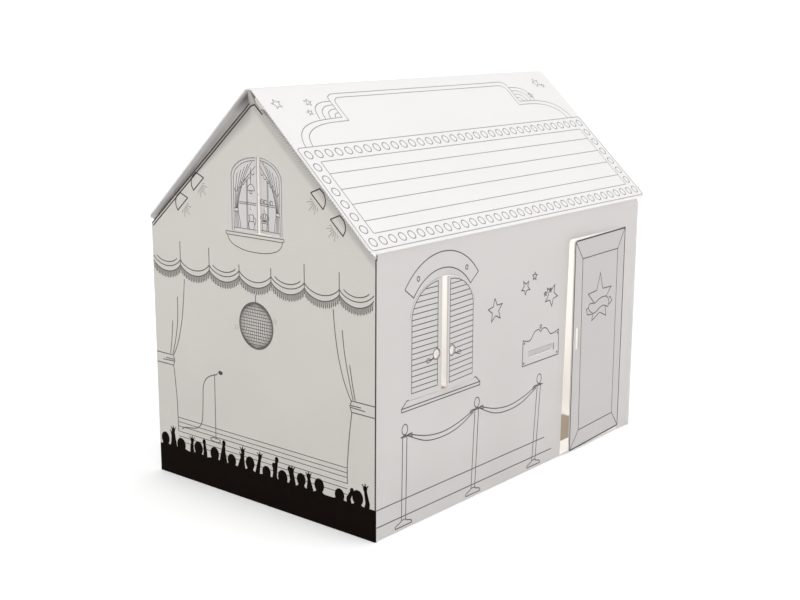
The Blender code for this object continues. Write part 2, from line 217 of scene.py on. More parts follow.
def boardMaterial(name, look, faces):
    # White liner outside and cream inside, with the fluting on cut edges, and painted shade: darker
    # towards the foot, in the flutes' hollows, on the roof's overhang and on the gable. Faces are the
    # outer faces that carry the print: a point on each and its outward direction.
    m = Material(name, look["roughness"])
    cloud = m.noise(look["cloudScale"])
    fibre = m.noise(look["fibreScale"], 2)
    wave = ((m.x + m.y) * look["flute"]).maths("SINE")
    low, high = look["outside"] * 0.985, look["outside"] * 1.015
    # The outer liner is painted darker towards the foot, as painted shade
    foot = m.clamp(m.z * look["footShadeRise"])
    footShadedOutside = m.mix(foot, grey(low * look["foot"], look["warmth"]), grey(low, look["warmth"]))
    outside = m.mix(cloud, footShadedOutside, grey(high, look["warmth"]))
    cream = grey(look["inside"], look["cream"])
    inside = m.mix(cloud, grey(look["inside"] * 0.98, look["cream"]), cream)
    # painted shade on the roof's overhang
    if "overhang" in look:
        inside = overhangPaintedShade(m, look, inside)
    within, core = cutEdges(m, faces)
    # The fluting on cut edges: a wave whose hollows are painted darker as shade
    fluteHollowShade = m.mix(wave * 0.5 + 0.5, grey(look["inside"] * 0.74, 0.05), cream)
    colour = m.mix(core, m.mix(within, outside, inside), fluteHollowShade)
    tones = [m.mix(fibre, grey(0.975), grey(1.0))]
    # painted shade on the gable
    if "gableShade" in look:
        tones.append(gablePaintedShade(m, look["gableShade"]))
    for tone in tones:
        colour = m.node("ShaderNodeMix", {"data_type": "RGBA", "blend_type": "MULTIPLY"},
                        {0: 1.0, 6: colour, 7: tone}, out=2)
    m.plug(Base_Color=colour, Roughness=cloud * 0.08 + (look["roughness"] - 0.04))
    m.bump(wave * 0.6 + fibre, look["bump"], 0.0004)
    return m.material


# The outer liner is the same white board on walls and roof; the walls' tone is set well below the roof's as
# painted shade on the upright faces
boardLook = {"outside": 0.625, "inside": 0.93, "cream": 0.020, "warmth": 0.036, "foot": 0.81,
             "footShadeRise": 1.2, "roughness": 0.62, "bump": 0.25, "cloudScale": 2.6, "fibreScale": 420.0,
             "flute": 840.0}
frontLook = dict(boardLook, gableShade=gableShade)
roofLook = dict(boardLook, outside=0.835, inside=0.90, cream=0.012, warmth=0.014, foot=1.0,
                overhang=overhangShade)
flapLook = dict(boardLook, inside=0.66)
nodeLook = {"front_wall_sheet": frontLook, "back_wall_sheet": boardLook, "roof_sheet": roofLook,
            # the letter flap is painted darker still, as shade on its inward-tipped face
            "door": dict(flapLook, outside=0.550, foot=0.91), "letter_flap": dict(flapLook, outside=0.54)}


# ink

def inkMaterial(name, shade, blot, warmth=0.06):
    # Screen print: flat and matt, thinner in places, with the paper's tooth showing through
    m = Material(name, 0.8)
    grain = m.noise(900.0, 2)
    blotch = m.noise(35.0, 3)
    dark, pale = grey(shade * (1 - blot), warmth), grey(shade * (1 + blot), warmth)
    m.plug(Base_Color=m.mix(grain * 0.6 + blotch * 0.4, dark, pale), Roughness=grain * 0.1 + 0.75)
    m.bump(grain, 0.15, 0.0002)
    m.shader.inputs["Specular IOR Level"].default_value = 0.03
    return m.material


inks = {"line": inkMaterial("line_ink", 0.075, 0.2), "fine": inkMaterial("fine_ink", 0.14, 0.15),
        "pale": inkMaterial("pale_ink", 0.36, 0.12), "dark": inkMaterial("dark_ink", 0.030, 0.25),
        "black": inkMaterial("black_ink", 0.0060, 0.35, 0.42)}


# drawing on a flat sheet

def turned(uAxis, vAxis, origin):
    u, v = Vector(uAxis).normalized(), Vector(vAxis).normalized()
    return Matrix.Translation(origin) @ Matrix((u, v, u.cross(v))).transposed().to_4x4()


# How far each leaf stands from the wall's plane at rest, in degrees
restTurn = {"door": 3.6, "shutter_left": -0.5, "shutter_right": 4.5, "gable_shutter_left": 1.5,
            "gable_shutter_right": -7.0}
letterFlapTip = 16


def planes():
    # Each printed surface: its frame, drawn as seen from outside, and its body
    front, gable, upwards = (1, 0, 0), (0, -1, 0), (0, 0, 1)
    found = {"front": (turned(front, upwards, (midX, frontY, 0)), "house"),
             "gable": (turned(gable, upwards, (gableX, midY, 0)), "house")}
    pitchRun = house["width"] / 2 - house["ridgeFlat"] / 2
    rise = house["ridge"] - house["wallTop"]
    pitch = math.atan2(rise, pitchRun) - math.asin(house["roofSeat"] / math.hypot(pitchRun, rise))
    down = Vector((0, -math.cos(pitch), -math.sin(pitch)))
    crease = (midX, midY - house["ridgeFlat"] / 2, house["ridge"])
    found["roof"] = (turned(front, -down, crease), "house")
    for name, degrees in restTurn.items():
        x, y, z = jointAt[name + "_hinge"]["pos_m"]
        swing = Matrix.Rotation(math.radians(degrees), 4, "Z")
        side = turned(gable if name.startswith("gable") else front, upwards, (0, 0, 0))
        found[name] = (Matrix.Translation((x, y, 0)) @ swing @ side, name)
    tip = Matrix.Rotation(math.radians(letterFlapTip), 4, "X")
    found["letter_flap"] = (Matrix.Translation(jointAt["letter_flap_hinge"]["pos_m"]) @ tip
                            @ Matrix.Translation((0, -house["board"], 0))
                            @ turned(front, upwards, (0, 0, 0)), "letter_flap")
    return found


sheets = planes()
proud = 0.00016
inkDepth = 0.0002


def outerFace(where):
    place = sheets[where][0]
    return place.translation, place.to_3x3().col[2]


def outerFaces(node):
    if node == "front_wall_sheet":
        return [outerFace("front"), outerFace("gable")]
    if node == "back_wall_sheet":
        return [(Vector((0, midY + house["width"] / 2, 0)), Vector((0, 1, 0))),
                (Vector((midX + house["length"] / 2, 0, 0)), Vector((1, 0, 0)))]
    if node == "roof_sheet":
        # the other slope leans the other way, with the flat strip between
        point, outward = outerFace("roof")
        return [(point, outward), (Vector((point.x, 2 * midY - point.y, point.z)),
                                   Vector((outward.x, -outward.y, outward.z))),
                (Vector((0, 0, house["ridge"])), Vector((0, 0, 1)))]
    return [outerFace(node)]


def dressBoards():
    for node, piece in frame["nodes"].items():
        board = boardMaterial(node + "_board", nodeLook.get(node, flapLook), outerFaces(node))
        piece.data.materials.clear()
        piece.data.materials.append(board)
    print("board materials on", len(frame["nodes"]), "nodes")


dressBoards()


def finish(obj, where, ink):
    frameMatrix, body = sheets[where]
    obj.matrix_world = frameMatrix
    bpy.ops.object.transform_apply(location=True, rotation=True, scale=True)
    obj.data.materials.clear()
    obj.data.materials.append(inks[ink])
    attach(obj, body)
    return obj


def selectOnly(obj):
    bpy.ops.object.select_all(action="DESELECT")
    bpy.context.view_layer.objects.active = obj
    obj.select_set(True)


def curveMesh(name, curve, outlines, closed):
    for points in outlines:
        spline = curve.splines.new("POLY")
        spline.points.add(len(points) - 1)
        for point, (u, v) in zip(spline.points, points):
            point.co = (u, v, 0, 1)
        spline.use_cyclic_u = closed
    obj = bpy.data.objects.new(name, curve)
    bpy.context.scene.collection.objects.link(obj)
    selectOnly(obj)
    bpy.ops.object.convert(target="MESH")
    return bpy.context.object


def flatDrawing(name, outlines, thickness=0):
    # Open lines of one thickness, or filled shapes where there is none
    curve = bpy.data.curves.new(name, "CURVE")
    curve.dimensions = "2D"
    curve.fill_mode = "NONE" if thickness else "FRONT"
    curve.bevel_depth = thickness / 2
    curve.bevel_resolution = 0
    return curveMesh(name, curve, outlines, not thickness)


def drawLines(name, where, polylines, width, ink="line"):
    obj = flatDrawing(name, polylines, width)
    obj.scale.z = inkDepth / width
    bpy.ops.object.transform_apply(location=False, rotation=False, scale=True)
    obj.data.transform(Matrix.Translation((0, 0, proud)))
    return finish(obj, where, ink)


def drawShapes(name, where, outlines, ink):
    obj = flatDrawing(name, outlines)
    obj.data.transform(Matrix.Translation((0, 0, proud)))
    return finish(obj, where, ink)


# curves that the drawings are made of

def arcLine(cu, cv, ru, rv, start, end, steps=16):
    angles = [math.radians(start + (end - start) * i / steps) for i in range(steps + 1)]
    return [(cu + ru * math.cos(a), cv + rv * math.sin(a)) for a in angles]


def ring(cu, cv, ru, rv, steps=20):
    return arcLine(cu, cv, ru, rv, 0, 360, steps)


def smooth(points, steps=5):
    # A rounded line through the points (Catmull-Rom)
    ends = [points[0]] + list(points) + [points[-1]]
    out = []
    for a, b, c, d in zip(ends, ends[1:], ends[2:], ends[3:]):
        for i in range(steps):
            t = i / steps
            out.append(tuple(0.5 * (2 * q + (r - p) * t + (2 * p - 5 * q + 4 * r - s) * t * t
                                    + (3 * q - p - 3 * r + s) * t ** 3)
                             for p, q, r, s in zip(a, b, c, d)))
    return out + [tuple(points[-1])]


def star(cu, cv, radius, tilt=0.0, inner=0.45):
    points = []
    for i in range(11):
        r = radius if i % 2 == 0 else radius * inner
        a = math.radians(90 + tilt + 36 * i)
        points.append((cu + r * math.cos(a), cv + r * math.sin(a)))
    return points


def flipped(lines, middle):
    return [[(2 * middle - u, v) for u, v in line] for line in lines]


# front wall

banner = {"u": -0.403, "v": 0.5775, "outer": 0.2125, "inner": 0.1645, "from": 143.4, "to": 37.2,
          "steps": 30}
ropePost = {"ballV": 0.3015, "ball": (0.0125, 0.0155), "topV": 0.2795, "footV": 0.0315, "half": 0.0095}


def bannerArc(radius, start, end):
    return arcLine(banner["u"], banner["v"], radius, radius, start, end, banner["steps"])


def ropePosts():
    lines = []
    top, foot, half = ropePost["topV"], ropePost["footV"], ropePost["half"]
    collar = [(-0.018, 0.281), (0, 0.2835), (0.019, 0.281), (0, top), (-0.018, 0.281)]
    halfBase = [(-0.037, 0.013), (-0.034, 0.021), (-0.013, 0.0275), (-half, foot)]
    base = halfBase + [(-u, v) for u, v in halfBase[::-1]]
    # each post leans a little, so its top and foot have their own places
    posts = [(-0.5715, -0.5755), (-0.2300, -0.2435), (0.1060, 0.0855)]
    for topU, footU in posts:
        lines.append(ring(topU, ropePost["ballV"], *ropePost["ball"]))
        lines.append(smooth([(topU + u, v) for u, v in collar], 3))
        for side in (-half, half):
            lines.append([(topU + side, top), (footU + side, foot)])
        lines.append(smooth([(footU + u, v) for u, v in base], 3) + [(footU + base[0][0], base[0][1])])
    for (left, _), (right, _) in zip(posts, posts[1:]):
        for drop, ends in ((0.0, 0.020), (0.0145, 0.017)):
            low = 0.2510 - drop
            a, b = left + ends, right - ends
            lines.append(smooth([(a, 0.2830 - drop * 0.35), ((3 * a + b) / 4, low + 0.0085),
                                 ((a + b) / 2, low), ((a + 3 * b) / 4, low + 0.0085),
                                 (b, 0.2795 - drop * 0.35)], 8))
        for at, away, lip in ((left, 1, 0.284), (right, -1, 0.282)):
            hook = [(0.014, 0.279), (0.034, 0.274), (0.032, lip), (0.014, 0.2835)]
            lines.append([(at + away * u, v) for u, v in hook])
    return lines


def frontDrawing():
    # the blank banner over the window
    outer = bannerArc(banner["outer"], banner["from"], banner["to"])
    inner = bannerArc(banner["inner"], banner["to"], banner["from"])
    lines = [outer + inner + outer[:1]]
    for u in (-0.515, -0.291):
        lines.append(ring(u, 0.727, 0.006, 0.007, 8))
    # sill
    lines.append([(-0.587, 0.354), (-0.217, 0.354), (-0.2165, 0.364), (-0.587, 0.364), (-0.587, 0.354)])
    lines.append([(-0.587, 0.364), (-0.563, 0.3835), (-0.554, 0.3835)])
    lines.append([(-0.2165, 0.364), (-0.238, 0.3835), (-0.246, 0.3835)])
    # baseboard
    lines.append([(-0.694, 0.0945), (0.146, 0.0935)])
    lines.append([(-0.694, 0.0430), (0.190, 0.0430)])
    lines += ropePosts()
    # letter plate with a crown, left blank, and its screws
    crown = [(0.009, 0.446), (0.028, 0.4405), (0.048, 0.4390), (0.060, 0.4490), (0.072, 0.4615),
             (0.087, 0.4665), (0.099, 0.4650), (0.108, 0.4575), (0.118, 0.4650), (0.131, 0.4655),
             (0.144, 0.4605), (0.155, 0.4480), (0.168, 0.4390), (0.190, 0.4400), (0.213, 0.446)]
    lines.append([(0.213, 0.446), (0.2145, 0.3615), (0.008, 0.3615), (0.009, 0.446)])
    lines.append(smooth(crown, 4))
    lines.append(ring(0.1075, 0.474, 0.0045, 0.006, 10))
    lines += [ring(u, v, 0.0022, 0.0022, 6) for v in (0.3705, 0.4350) for u in (0.0165, 0.2060)]
    # stars: place, radius and tilt
    for place in ((0.0175, 0.6150, 0.024, 176), (0.0660, 0.6440, 0.0135, -6), (0.1635, 0.5660, 0.037, 186),
                  (-0.143, 0.5710, 0.038, 6), (0.1290, 0.5770, 0.008, 10), (0.1570, 0.5850, 0.008, 0)):
        lines.append(star(*place))
    # a painted shadow line at the letter slot's right end
    lines.append([(0.1855, 0.4060), (0.1860, 0.3830)])
    return lines


louvre = {"near": 0.0095, "far": {1: 0.1260, -1: 0.1345}, "low": 0.400, "spring": 0.610, "rise": 0.0985,
          "slats": 19, "pitch": 0.0163, "shoulder": 0.006, "shortest": 0.012,
          "hole": (0.1210, 0.494), "holeRing": 0.0158, "clear": 0.0165,
          "latch": [(-0.014, -0.007), (-0.024, -0.012), (-0.036, -0.007), (-0.046, -0.011),
                    (-0.040, -0.019), (-0.030, -0.016), (-0.016, -0.012)]}


def louvreDrawing(side):
    # One front shutter, measured from its hinge towards the slit; side 1 hinges at the left
    look, end = louvre, louvre["far"][side]
    span = end - look["near"] + look["shoulder"]
    holeU, holeV = look["hole"]
    edge = arcLine(end + look["shoulder"], look["spring"], span, look["rise"], 180, 93, 18)
    nearHole = math.sqrt(look["clear"] ** 2 - (end - holeU) ** 2)
    lines = [[(end, holeV - nearHole), (end, look["low"]), (look["near"], look["low"])] + edge
             + [(end, holeV + nearHole)]]
    for i in range(1, look["slats"]):
        v = look["low"] + i * look["pitch"]
        near, far = look["near"], end
        if v > look["spring"]:
            rise = min(1.0, (v - look["spring"]) / look["rise"])
            near = end + look["shoulder"] - span * math.sqrt(1 - rise * rise)
        if abs(v - holeV) < look["clear"]:
            far = holeU - math.sqrt(look["clear"] ** 2 - (v - holeV) ** 2)
        if near < far - look["shortest"]:
            lines.append([(near, v), (far, v)])
    # a scrolled latch handle round the hole
    lines.append(ring(holeU, holeV, look["holeRing"], look["holeRing"], 18))
    lines.append(smooth([(holeU + u, holeV + v) for u, v in look["latch"]], 4))
    return lines if side > 0 else flipped(lines, 0)


drawLines("front_line_print", "front", frontDrawing(), 0.0032, "fine")
drawLines("corner_top_print", "front", [[(-0.6916, 0.8040), (-0.6916, 0.8195)]], 0.0040, "line")
for name, side in (("shutter_left", 1), ("shutter_right", -1)):
    drawLines(name + "_louvre_print", name, louvreDrawing(side), 0.0026, "fine")
print("front wall drawn")


# door

def doorDrawing():
    top, foot, free, freeFoot = 0.7315, 0.017, -0.3555, -0.352
    panel = [(-0.3015, 0.6655), (-0.0530, 0.6640), (-0.0505, 0.0765), (-0.2925, 0.0765)]
    corners = [(free + 0.006, top - 0.007), (-0.004, top - 0.003), (-0.004, foot + 0.004),
               (freeFoot + 0.004, foot + 0.004)]
    lines = [panel + panel[:1]] + [[inner, outer] for inner, outer in zip(panel, corners)]
    # a star with a ribbon across it: the star's lines stop at the ribbon
    badge = star(-0.1745, 0.5120, 0.086, 0, 0.42)
    ribbonTop = smooth([(-0.2452, 0.5032), (-0.2255, 0.5022), (-0.2040, 0.5000), (-0.1889, 0.5052),
                        (-0.1720, 0.5095), (-0.1519, 0.5115), (-0.1286, 0.5100), (-0.1105, 0.5004)], 4)
    ribbonLow = smooth([(-0.2199, 0.4658), (-0.2000, 0.4672), (-0.1807, 0.4735), (-0.1638, 0.4788),
                        (-0.1500, 0.4808), (-0.1350, 0.4795), (-0.1119, 0.4700)], 4)
    tailLeft = [(-0.2495, 0.4925), (-0.2670, 0.4880), (-0.2600, 0.4790), (-0.2590, 0.4690),
                (-0.2260, 0.4645)]
    tailRight = [(-0.1060, 0.5010), (-0.0950, 0.5030), (-0.0890, 0.4945), (-0.0820, 0.4870),
                 (-0.1060, 0.4770)]
    lines += [[(-0.2120, 0.5015), badge[2], badge[1], badge[0], badge[9], badge[8], (-0.1265, 0.5095)],
              [(-0.2185, 0.4658), badge[4], (-0.1705, 0.4615), badge[6], (-0.1320, 0.4785)]]
    lines += [ribbonTop, ribbonLow, smooth([ribbonTop[-1], (-0.1046, 0.4855), ribbonLow[-1]], 4),
              smooth([ribbonTop[0], (-0.2500, 0.4927), (-0.2435, 0.4806), ribbonLow[0]], 4),
              tailLeft, tailRight]
    edge = [[(-0.0025, foot + 0.0015), (-0.0025, top - 0.0025), (free + 0.015, top - 0.0025)]
            + arcLine(free + 0.0145, top - 0.0145, 0.012, 0.012, 90, 180, 6)
            + [(freeFoot + 0.0020, foot + 0.0015), (-0.0025, foot + 0.0015)]]
    return lines, edge


lines, edge = doorDrawing()
drawLines("door_line_print", "door", lines, 0.0032, "fine")
drawLines("door_edge_print", "door", edge, 0.0044, "line")
print("door drawn")


# gable

gableEdge = {"frame": 0.0105, "frontFrame": 0.0042, "frontPart": 0.07, "rim": 0.0018}


def gableBorder():
    # A frame line set in from the gable's edge, of which the front side has only the top end, which
    # also stands as painted shade beside the apex; and a thin dark line right at the back edge, a
    # painted shadow of the gap under the roof
    half, flat = house["width"] / 2, house["flat"] / 2
    slope = math.atan2(house["apex"] - house["eave"], half - flat)

    def slopeLine(inset, side, part=1.0):
        du, dv = inset * math.sin(slope), inset * math.cos(slope)
        top, end = (flat - du, house["apex"] - dv), (half - du, house["eave"] - dv)
        return [(side * top[0], top[1]),
                (side * (top[0] + (end[0] - top[0]) * part), top[1] + (end[1] - top[1]) * part)]

    frame = slopeLine(gableEdge["frontFrame"], 1, gableEdge["frontPart"])[::-1]
    return [frame + slopeLine(gableEdge["frame"], -1)], [slopeLine(gableEdge["rim"], -1)]


def cornerStrip(name, first, last, low, high, ink, flat=0.0, lean=0.0):
    # Print round the folded corner, between two angles of the bend. It can start on the
    # flat of the gable, and its top can sit further round than its foot.
    radius = house["bend"]
    centre = Vector((gableX + radius, frontY + radius, 0))
    out = radius + proud
    plan = [(-out, flat)] if flat else []
    plan += [(-out * math.cos(a), -out * math.sin(a))
             for a in [math.radians(first + (last - first) * i / 6) for i in range(7)]]
    curve = bpy.data.curves.new(name, "CURVE")
    curve.dimensions = "3D"
    curve.extrude = (high - low) / 2
    obj = curveMesh(name, curve, [plan], False)
    for vertex in obj.data.vertices:
        if vertex.co.z > 0:
            vertex.co = Matrix.Rotation(math.radians(lean), 3, "Z") @ vertex.co
    obj.location = centre + Vector((0, 0, (high + low) / 2))
    bpy.ops.object.transform_apply(location=True, rotation=False, scale=False)
    if obj.data.polygons[0].normal.x > 0:
        bpy.ops.object.mode_set(mode="EDIT")
        bpy.ops.mesh.select_all(action="SELECT")
        bpy.ops.mesh.flip_normals()
        bpy.ops.object.mode_set(mode="OBJECT")
    obj.data.materials.append(inks[ink])
    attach(obj, "house")
    return obj


swag = {"rows": ((0.7085, 0.0260, 0), (0.6935, 0.0275, 0), (0.7110, 0.0155, 0.016)), "steps": 16,
        "joinFoot": 0.676, "fringe": (0.6920, 0.0270), "fringeFoot": (0.6700, 0.0255), "strands": 34,
        "sway": 0.0009, "ragged": 0.002, "roundness": 0.8}


def hang(t):
    # How far a swag has dropped at a share t of its width
    return (1 - (2 * t - 1) ** 2) ** swag["roundness"]


def gableDrawing():
    lines, fringe, light = [], [], []
    # where the swags are gathered, from the back corner to the front one, and how high the cord goes
    gathers = {0.33: 0.766, 0.20: 0.761, 0.07: 0.727, -0.062: 0.733, -0.195: 0.763, -0.328: 0.757}
    joins = [0.456] + list(gathers) + [-0.4535]
    for y, top in gathers.items():
        lines.append([(-y, swag["joinFoot"]), (-y, top)])
    for number, (a, b) in enumerate(zip(joins, joins[1:])):
        for start, drop, shrink in swag["rows"]:
            # every other swag has the short third row
            if shrink and number % 2:
                continue
            u0, u1 = -a + shrink, -b - shrink
            shares = [i / swag["steps"] for i in range(swag["steps"] + 1)]
            lines.append([(u0 + (u1 - u0) * t, start - drop * hang(t)) for t in shares])
        for i in range(1, swag["strands"]):
            t = i / swag["strands"]
            u = -a + (-b + a) * t
            high = swag["fringe"][0] - swag["fringe"][1] * hang(t)
            low = swag["fringeFoot"][0] - swag["fringeFoot"][1] * hang(t)
            fringe.append([(u, high), (u + swag["sway"] * (-1) ** i, low + swag["ragged"] * (i % 3))])
    # the drapes and their ties
    left = [[(0.315, 0.650), (0.320, 0.600), (0.330, 0.530), (0.345, 0.470), (0.360, 0.430),
             (0.377, 0.399)],
            [(0.379, 0.364), (0.373, 0.310), (0.368, 0.250), (0.367, 0.200), (0.366, 0.150)],
            [(0.350, 0.590), (0.352, 0.520), (0.364, 0.455), (0.381, 0.402)],
            [(0.376, 0.510), (0.383, 0.450), (0.392, 0.402)]]
    right = [[(-0.305, 0.650), (-0.309, 0.600), (-0.320, 0.530), (-0.336, 0.470), (-0.352, 0.430),
              (-0.370, 0.397)],
             [(-0.372, 0.364), (-0.363, 0.300), (-0.357, 0.240), (-0.354, 0.200), (-0.354, 0.150)],
             [(-0.338, 0.595), (-0.346, 0.530), (-0.364, 0.450), (-0.377, 0.401)],
             [(-0.365, 0.500), (-0.374, 0.450), (-0.385, 0.401)]]
    for row in left + right:
        lines.append(smooth([(-y, z) for y, z in row], 6))
    for side, edgeU in ((1, 0.379), (-1, -0.371)):
        end = 0.457 * side
        lines += [[(-edgeU, 0.398), (-end, 0.398)], [(-edgeU, 0.365), (-end, 0.365)],
                  [(-edgeU, 0.398), (-edgeU + 0.006 * side, 0.3815), (-edgeU, 0.365)],
                  [(-edgeU + 0.004 * side, 0.3845), (-edgeU - 0.035 * side, 0.3845)],
                  [(-edgeU + 0.004 * side, 0.3790), (-edgeU - 0.050 * side, 0.3770)]]
    # stage boards
    for z in (0.1970, 0.1825, 0.1685, 0.1510, 0.1350, 0.1180):
        light.append([(-0.366, z), (0.354, z)])
    # the microphone on its stand, and the lead behind it
    lines.append([(-0.190, 0.371), (-0.192, 0.160)])
    lines.append(smooth([(-0.176, 0.374), (-0.190, 0.368), (-0.210, 0.361), (-0.230, 0.347),
                         (-0.243, 0.322), (-0.246, 0.280), (-0.249, 0.240), (-0.252, 0.212),
                         (-0.263, 0.190), (-0.283, 0.178), (-0.312, 0.173), (-0.333, 0.170),
                         (-0.350, 0.161)], 4))
    lines.append(ring(-0.194, 0.1585, 0.023, 0.0065, 16))
    # sill and bowl under the window
    light += [[(-0.121, 0.8225), (0.1165, 0.8225)], [(-0.118, 0.8130), (0.1135, 0.8130)],
              [(-0.121, 0.8225), (-0.1225, 0.8170), (-0.118, 0.8130)],
              [(0.1165, 0.8225), (0.1180, 0.8170), (0.1135, 0.8130)]]
    light.append(smooth([(-0.115, 0.813), (-0.108, 0.797), (-0.085, 0.783), (-0.045, 0.7735),
                         (0.000, 0.771), (0.045, 0.7735), (0.085, 0.783), (0.105, 0.797),
                         (0.112, 0.813)], 5))
    return lines, fringe, light


# Each lamp's place and the side that it shines to; its outline, cut off square at the back
# with a domed front; and its rays by angle, start and end, from a point in front of it
spotlight = {"places": ((0.245, 0.9596, -1), (0.319, 0.8925, -1), (-0.2554, 0.9555, 1),
                        (-0.3285, 0.889, 1)),
             "outline": [(0.032, 0.0105), (-0.003, 0.0245), (-0.018, 0.012), (-0.0240, -0.003),
                         (-0.0225, -0.018), (-0.0145, -0.031), (0.032, 0.0105)],
             "centre": (0.010, -0.010),
             "rays": ((8, 0.016, 0.026), (-10, 0.013, 0.037), (-28, 0.012, 0.028), (-45, 0.012, 0.042),
                      (-62, 0.012, 0.030), (-79, 0.014, 0.040), (-98, 0.018, 0.029))}
mirrorBall = {"u": -0.003, "v": 0.552, "radius": 0.070, "cordTop": 0.645, "rows": 7, "rowShare": 7.3,
              "columns": 11, "columnShare": 12, "glints": ((-0.087, 0.536, 0), (0.075, 0.577, 20)),
              "glintStart": 0.003, "glintEnd": 0.010}


def spotLights():
    lamps, rays = [], []
    cu, cv = spotlight["centre"]
    for y, z, side in spotlight["places"]:
        lamps.append([(-y - side * u, z + v) for u, v in spotlight["outline"]])
        for turn, start, end in spotlight["rays"]:
            a = math.radians(turn)
            rays.append([(-y - side * (cu + out * math.cos(a)), z + cv + out * math.sin(a))
                         for out in (start, end)])
    return lamps, rays


def mirrorBallDrawing():
    # even rows, and columns that crowd towards the rim
    cu, cv, r = mirrorBall["u"], mirrorBall["v"], mirrorBall["radius"]
    rim = [ring(cu, cv, r, r, 40), [(cu, cv + r), (cu, mirrorBall["cordTop"])]]
    tiles = []
    for i in range(-mirrorBall["rows"], mirrorBall["rows"] + 1):
        v = r * i / mirrorBall["rowShare"]
        half = math.sqrt(r * r - v * v)
        tiles.append([(cu - half, cv + v), (cu + half, cv + v)])
    for i in range(-mirrorBall["columns"], mirrorBall["columns"] + 1):
        u = r * math.sin(math.radians(90 * i / mirrorBall["columnShare"]))
        tiles.append(arcLine(cu, cv, abs(u) + 0.00001, r, 90, -90 if u > 0 else 270, 14))
    glints = []
    for u, v, turn in mirrorBall["glints"]:
        for k in range(5):
            a = math.radians(turn + 72 * k)
            glints.append([(u + out * math.cos(a), v + out * math.sin(a))
                           for out in (mirrorBall["glintStart"], mirrorBall["glintEnd"])])
    return rim, tiles, glints


crowd = {"seed": 11, "floor": 0.0006, "bandBack": 0.0930, "bandFront": 0.0960, "backGap": 0.0015,
         "margin": 0.010, "arms": 0.66, "openHands": 0.6}


def crowdShapes():
    # An audience from behind with its arms in the air, over a black band
    dice = random.Random(crowd["seed"])
    half = house["width"] / 2 - crowd["backGap"]
    flatEnd = house["width"] / 2 - house["bend"]
    shapes = [[(-half, crowd["floor"]), (flatEnd, crowd["floor"]), (flatEnd, crowd["bandFront"]),
               (-half, crowd["bandBack"])]]

    def limb(points, widths):
        left, right = [], []
        for number, ((u, v), width) in enumerate(zip(points, widths)):
            before, after = points[max(0, number - 1)], points[min(len(points) - 1, number + 1)]
            du, dv = after[0] - before[0], after[1] - before[1]
            size = math.hypot(du, dv)
            left.append((u - width / 2 * dv / size, v + width / 2 * du / size))
            right.append((u + width / 2 * dv / size, v - width / 2 * du / size))
        shapes.append(left + right[::-1])

    def keep(u):
        return max(-half + crowd["margin"], min(flatEnd - crowd["margin"], u))

    u = -half + 0.026
    while u < flatEnd - 0.020:
        head = 0.0175 + 0.0035 * dice.random()
        height = 0.1060 + 0.0130 * dice.random()
        shapes.append(ring(u, height, head, head * 1.12, 20))
        shapes.append(smooth([(keep(u - 0.040), 0.080), (keep(u - 0.034), 0.0930), (u - 0.014, 0.0985),
                              (u - 0.009, height), (u + 0.009, height), (u + 0.014, 0.0985),
                              (keep(u + 0.034), 0.0930), (keep(u + 0.040), 0.080)], 3))
        for side in (-1, 1):
            if dice.random() < crowd["arms"]:
                shoulder = keep(u + side * 0.029)
                elbow = keep(shoulder + side * (0.002 + 0.009 * dice.random()))
                hand = keep(elbow - side * (0.016 - 0.026 * dice.random()))
                reach = 0.131 + 0.024 * dice.random() ** 1.4
                limb([(shoulder, 0.076), (elbow, 0.108), (hand, reach)], [0.0230, 0.0165, 0.0105])
                shapes.append(ring(hand, reach + 0.002, 0.0078, 0.0092, 12))
                if dice.random() < crowd["openHands"]:
                    for finger in (-1, 0, 1):
                        root, tip = hand + finger * 0.0046, keep(hand + finger * 0.0115)
                        top = reach + 0.0175 - abs(finger) * 0.0035
                        shapes.append([(root - 0.0025, reach + 0.004), (root + 0.0025, reach + 0.004),
                                       (tip + 0.0016, top), (tip - 0.0016, top)])
        u += 0.066 + 0.016 * dice.random()
    return shapes


lines, fringe, light = gableDrawing()
drawLines("gable_line_print", "gable", lines, 0.0030, "fine")
drawLines("gable_light_print", "gable", light, 0.0023, "fine")
drawLines("gable_fringe_print", "gable", fringe, 0.0021, "fine")
border, rim = gableBorder()
drawLines("gable_border_print", "gable", border, 0.0038, "dark")
# painted shadow along the back edge, in ink
drawLines("gable_edge_shadow_print", "gable", rim, 0.0034, "dark")
cornerStrip("corner_border_print", 16, 60, 0.095, house["eave"] - 0.002, "line", lean=28)
cornerStrip("audience_corner_print", 0, 64, 0.0006, 0.0955, "black", flat=0.0030)
lamps, rays = spotLights()
drawLines("spotlight_print", "gable", lamps, 0.0036, "line")
drawLines("spotlight_ray_print", "gable", rays, 0.0020, "pale")
rim, tiles, glints = mirrorBallDrawing()
drawLines("mirror_ball_print", "gable", rim, 0.0030, "fine")
drawLines("mirror_tile_print", "gable", tiles, 0.0021, "fine")
drawLines("mirror_ball_glints", "gable", glints, 0.0014, "pale")
drawShapes("microphone_head_print", "gable", [ring(-0.163, 0.3795, 0.010, 0.0065, 14)], "line")
print("gable drawn")


def joinPieces(name, made):
    bpy.ops.object.select_all(action="DESELECT")
    for obj in made:
        obj.select_set(True)
    bpy.context.view_layer.objects.active = made[0]
    bpy.ops.object.join()
    made[0].name = name
    return made[0]


